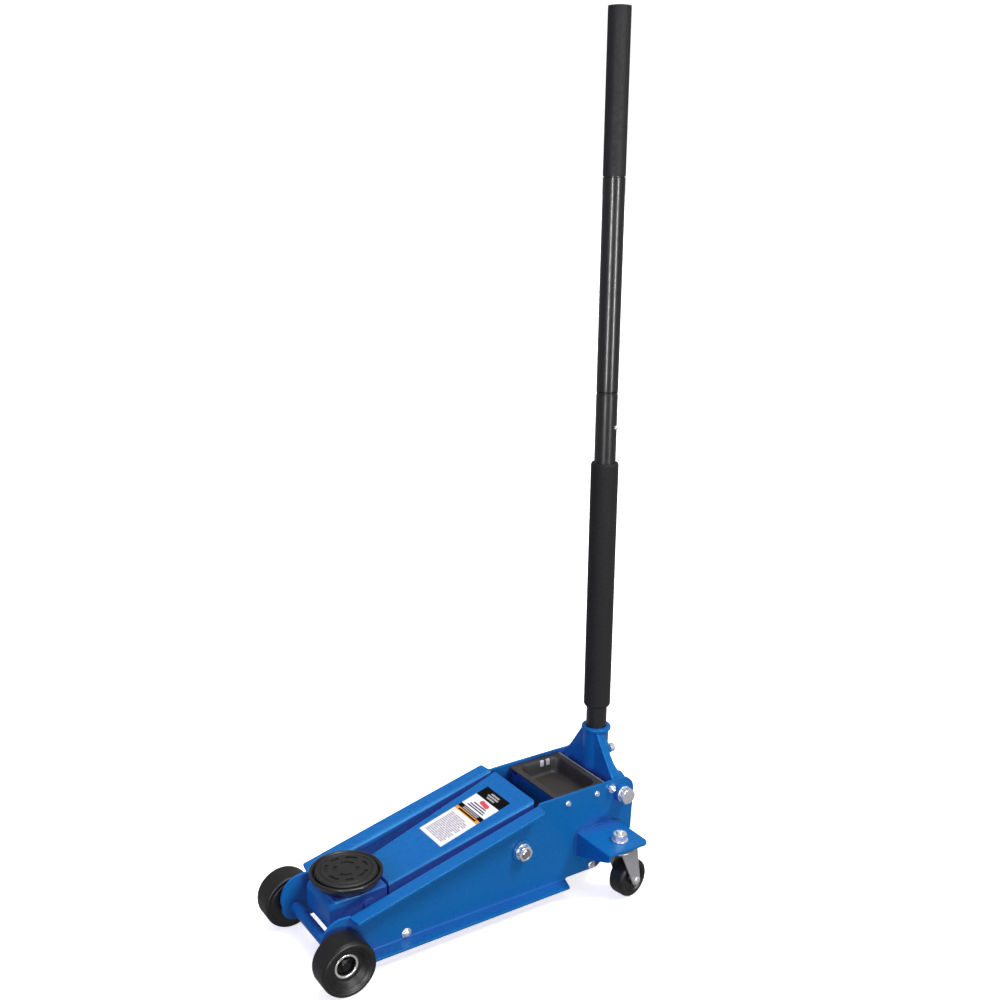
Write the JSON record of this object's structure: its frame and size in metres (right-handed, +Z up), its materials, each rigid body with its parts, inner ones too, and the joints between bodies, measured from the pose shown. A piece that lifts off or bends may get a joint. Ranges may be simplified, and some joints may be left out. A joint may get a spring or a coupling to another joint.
{
  "type": "trolley jack",
  "caption": "Low-profile hydraulic trolley jack with bent side plates, lift arm, level swivel saddle, tool tray, pump handle, front wheels and rear casters.",
  "frame": {"origin": "on the floor, under the middle of the jack's length and width", "axes": "+X towards the saddle and front wheels, +Y to the jack's left side, +Z up along the upright handle"},
  "size_m": [0.638, 0.336, 1.447],
  "materials": {
    "blue_paint": "glossy blue enamel over sheet steel",
    "zinc_plate": "bright zinc plate",
    "bright_steel": "machined steel",
    "dark_steel": "black oxide",
    "grey_metal": "grey plated pressing and casting",
    "black_paint": "satin black powder coat",
    "black_plastic": "semi-gloss moulded nylon",
    "black_rubber": "matt moulded rubber",
    "black_foam": "closed-cell foam"
  },
  "bodies": {
    "chassis": {"side_plate_left": "blue_paint", "side_plate_right": "blue_paint", "front_axle": "blue_paint", "front_axle_nut_left": "dark_steel", "front_axle_nut_right": "dark_steel", "front_tie_bolt": "zinc_plate", "rear_tie_bolt": "zinc_plate", "tray_cross_plate": "blue_paint", "unit_cross_plate": "blue_paint", "tool_tray": "black_paint", "lift_pivot_shaft": "bright_steel", "lift_pivot_nut_left": "zinc_plate", "lift_pivot_nut_right": "zinc_plate", "rod_anchor_left": "bright_steel", "rod_anchor_right": "bright_steel", "pump_block": "grey_metal", "reservoir_cylinder": "grey_metal", "cylinder_gland": "bright_steel", "return_spring_left": "bright_steel", "return_spring_right": "bright_steel", "pump_spring": "bright_steel", "handle_pivot_bolt_left": "zinc_plate", "handle_pivot_bolt_right": "zinc_plate", "caster_bracket_left": "blue_paint", "caster_bracket_right": "blue_paint"},
    "lift_arm": {"lift_arm": "blue_paint", "cradle_pin": "blue_paint"},
    "saddle_cradle": {"saddle_cradle": "blue_paint", "radius_rod_pin": "blue_paint"},
    "saddle": {"saddle_cup": "black_paint", "saddle_pad": "black_rubber"},
    "radius_rods": {"radius_rod_left": "bright_steel", "radius_rod_right": "bright_steel"},
    "ram": {"ram_rod": "bright_steel", "ram_crosshead": "dark_steel"},
    "pump_plunger": {"pump_plunger": "bright_steel"},
    "release_spindle": {"release_spindle": "bright_steel"},
    "handle_socket": {"handle_socket": "blue_paint", "cam_roller_pin": "bright_steel", "handle_clamp_bolt": "zinc_plate"},
    "cam_roller": {"cam_roller": "bright_steel"},
    "handle": {"handle_lower_tube": "black_paint", "handle_upper_tube": "black_paint", "foam_sleeve": "black_foam", "handle_grip": "black_rubber", "handle_end_cap": "black_plastic", "handle_drive_fork": "bright_steel"},
    "snap_button": {"snap_button": "zinc_plate"},
    "front_wheel_left": {"front_wheel_left": "black_plastic", "front_hub_left": "zinc_plate"},
    "front_wheel_right": {"front_wheel_right": "black_plastic", "front_hub_right": "zinc_plate"},
    "caster_fork_left": {"caster_fork_left": "grey_metal", "caster_axle_left": "zinc_plate", "caster_nut_left": "zinc_plate"},
    "caster_fork_right": {"caster_fork_right": "grey_metal", "caster_axle_right": "zinc_plate", "caster_nut_right": "zinc_plate"},
    "caster_wheel_left": {"caster_wheel_left": "black_plastic"},
    "caster_wheel_right": {"caster_wheel_right": "black_plastic"}
  },
  "joints": [
    {"name": "lift", "type": "hinge", "parent": "chassis", "child": "lift_arm", "pos_m": [-0.069, 0, 0.1105], "axis": [0, -1, 0], "range_deg": [0, 60]},
    {"name": "cradle_level", "type": "hinge", "parent": "lift_arm", "child": "saddle_cradle", "pos_m": [0.199, 0, 0.088], "axis": [0, -1, 0], "range_deg": [-60, 0]},
    {"name": "radius_rod_swing", "type": "hinge", "parent": "chassis", "child": "radius_rods", "pos_m": [-0.016, 0, 0.0885], "axis": [0, -1, 0], "range_deg": [0, 60]},
    {"name": "ram_stroke", "type": "slide", "parent": "chassis", "child": "ram", "axis": [1, 0, 0], "range_m": [0, 0.0555], "deforming": ["return_spring_left", "return_spring_right"]},
    {"name": "saddle_swivel", "type": "hinge", "parent": "saddle_cradle", "child": "saddle", "pos_m": [0.2165, 0, 0.12], "axis": [0, 0, 1], "continuous": true},
    {"name": "handle_pivot", "type": "hinge", "parent": "chassis", "child": "handle_socket", "pos_m": [-0.278, 0, 0.158], "axis": [0, -1, 0], "range_deg": [0, 60], "stiffness_Nm_per_rad": 30, "springref_deg": -8.59},
    {"name": "pump_stroke", "type": "slide", "parent": "chassis", "child": "pump_plunger", "axis": [1, 0, 0], "range_m": [0, 0.0401], "deforming": ["pump_spring"]},
    {"name": "cam_roller_spin", "type": "hinge", "parent": "handle_socket", "child": "cam_roller", "pos_m": [-0.298, 0, 0.12336], "axis": [0, 1, 0], "continuous": true},
    {"name": "handle_twist", "type": "hinge", "parent": "handle_socket", "child": "handle", "pos_m": [-0.278, 0, 0.2], "axis": [0, 0, 1], "range_deg": [0, 180]},
    {"name": "release_valve", "type": "hinge", "parent": "chassis", "child": "release_spindle", "pos_m": [-0.278, 0, 0.158], "axis": [-0.9397, 0, 0.342], "range_deg": [0, 180]},
    {"name": "snap_button_press", "type": "slide", "parent": "handle", "child": "snap_button", "axis": [0.4067, -0.9135, 0], "range_m": [0, 0.004], "stiffness_N_per_m": 400, "springref_m": -0.002},
    {"name": "front_wheel_left_spin", "type": "hinge", "parent": "chassis", "child": "front_wheel_left", "pos_m": [0.274, 0.106, 0.045], "axis": [0, 1, 0], "continuous": true},
    {"name": "front_wheel_right_spin", "type": "hinge", "parent": "chassis", "child": "front_wheel_right", "pos_m": [0.274, -0.106, 0.045], "axis": [0, 1, 0], "continuous": true},
    {"name": "caster_left_swivel", "type": "hinge", "parent": "chassis", "child": "caster_fork_left", "pos_m": [-0.228, 0.137, 0.1], "axis": [0, 0, 1], "continuous": true},
    {"name": "caster_left_spin", "type": "hinge", "parent": "caster_fork_left", "child": "caster_wheel_left", "pos_m": [-0.2516, 0.13263, 0.033], "axis": [-0.1822, 0.9833, 0], "continuous": true},
    {"name": "caster_right_swivel", "type": "hinge", "parent": "chassis", "child": "caster_fork_right", "pos_m": [-0.228, -0.137, 0.1], "axis": [0, 0, 1], "continuous": true},
    {"name": "caster_right_spin", "type": "hinge", "parent": "caster_fork_right", "child": "caster_wheel_right", "pos_m": [-0.2516, -0.13263, 0.033], "axis": [0.1822, 0.9833, 0], "continuous": true}
  ],
  "couplings": [
    {"joint": "cradle_level", "follows": "lift", "ratio": -1},
    {"joint": "radius_rod_swing", "follows": "lift", "ratio": 1},
    {"joint": "ram_stroke", "follows": "lift", "m_per_rad": 0.052928},
    {"joint": "pump_stroke", "follows": "handle_pivot", "m_per_rad": 0.038197},
    {"joint": "release_valve", "follows": "handle_twist", "ratio": 1}
  ]
}
